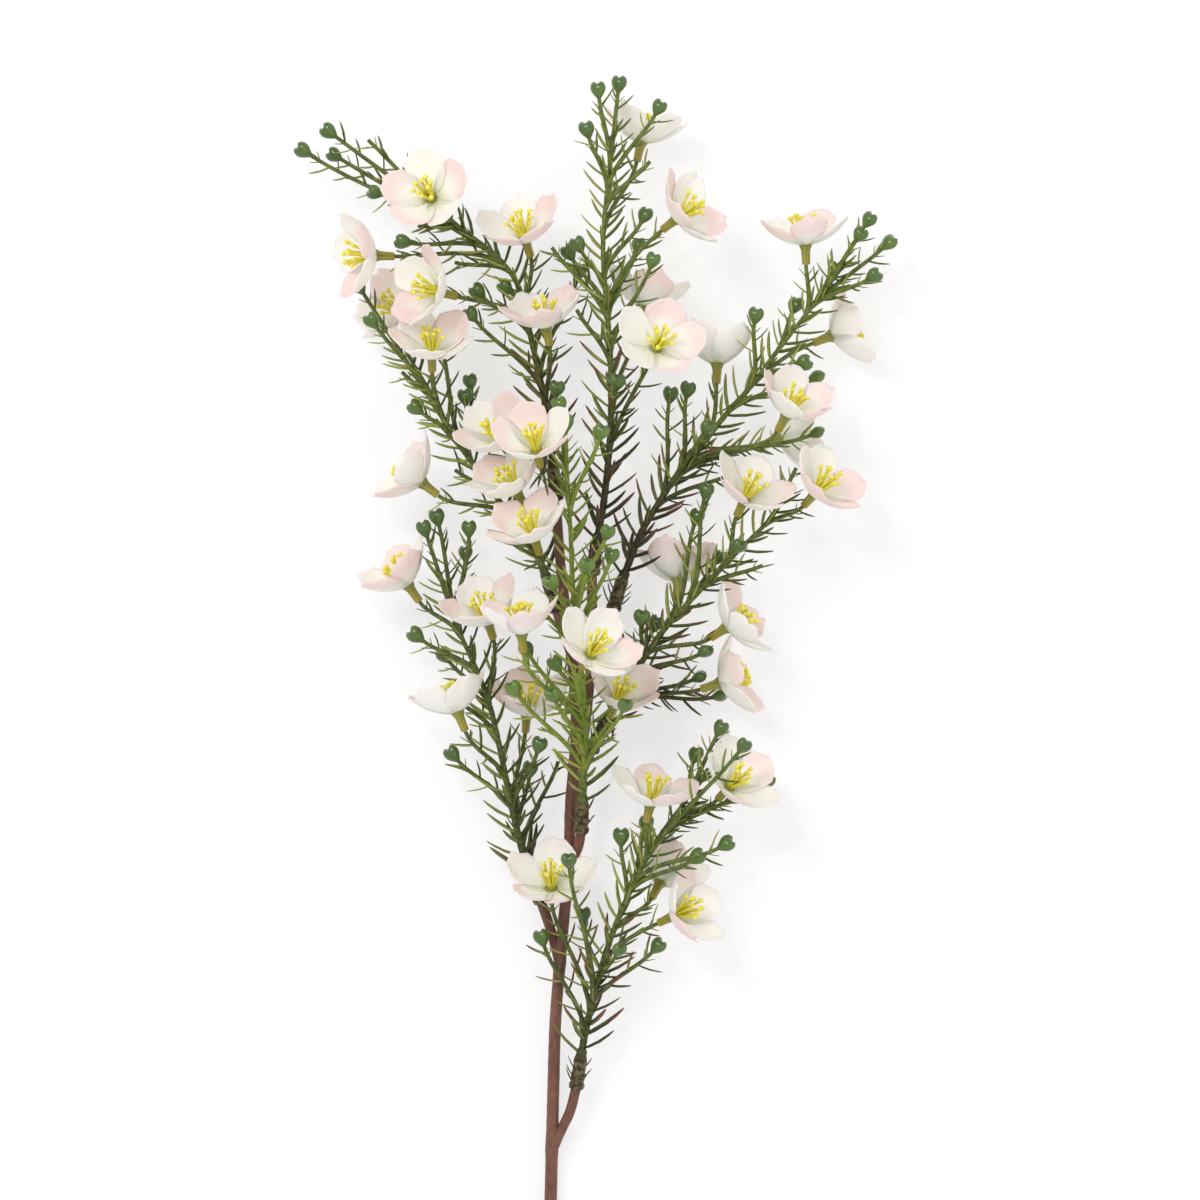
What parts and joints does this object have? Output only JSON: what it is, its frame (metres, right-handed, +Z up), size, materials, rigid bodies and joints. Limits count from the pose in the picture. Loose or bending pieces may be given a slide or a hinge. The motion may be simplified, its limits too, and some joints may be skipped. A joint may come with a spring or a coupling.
{
  "type": "waxflower stem",
  "caption": "Artificial waxflower stem with a forked brown stem, leafy green sprigs with round buds and open five-petal blooms, lying flat.",
  "frame": {"origin": "middle of the bounding box in plan, on the surface that the stem lies on", "axes": "+Y along the stem from its cut end to its tips, +X to the right as seen from above, +Z up from the surface"},
  "size_m": [0.2708, 0.626, 0.1188],
  "materials": {
    "stem_brown": "satin",
    "sprig_green": "satin, glossy on the buds",
    "petal_white": "matte, pink at the tips, with a yellow tube and stamens"
  },
  "bodies": {
    "root": {"main_stem": "stem_brown", "sprig_low_right": "sprig_green", "sprig_low_left": "sprig_green", "sprig_front": "sprig_green", "sprig_right": "sprig_green", "sprig_left": "sprig_green", "sprig_right_top": "sprig_green", "sprig_top": "sprig_green", "sprig_left_top": "sprig_green", "bloom_01": "petal_white", "bloom_02": "petal_white", "bloom_03": "petal_white", "bloom_04": "petal_white", "bloom_05": "petal_white", "bloom_06": "petal_white", "bloom_07": "petal_white", "bloom_08": "petal_white", "bloom_09": "petal_white", "bloom_10": "petal_white", "bloom_11": "petal_white", "bloom_12": "petal_white", "bloom_13": "petal_white", "bloom_14": "petal_white", "bloom_15": "petal_white", "bloom_16": "petal_white", "bloom_17": "petal_white", "bloom_18": "petal_white", "bloom_19": "petal_white", "bloom_20": "petal_white", "bloom_21": "petal_white", "bloom_22": "petal_white", "bloom_23": "petal_white", "bloom_24": "petal_white", "bloom_25": "petal_white", "bloom_26": "petal_white", "bloom_27": "petal_white", "bloom_28": "petal_white", "bloom_29": "petal_white", "bloom_30": "petal_white", "bloom_31": "petal_white", "bloom_32": "petal_white", "bloom_33": "petal_white", "bloom_34": "petal_white", "bloom_35": "petal_white", "bloom_36": "petal_white", "bloom_37": "petal_white", "bloom_38": "petal_white"}
  },
  "joints": []
}
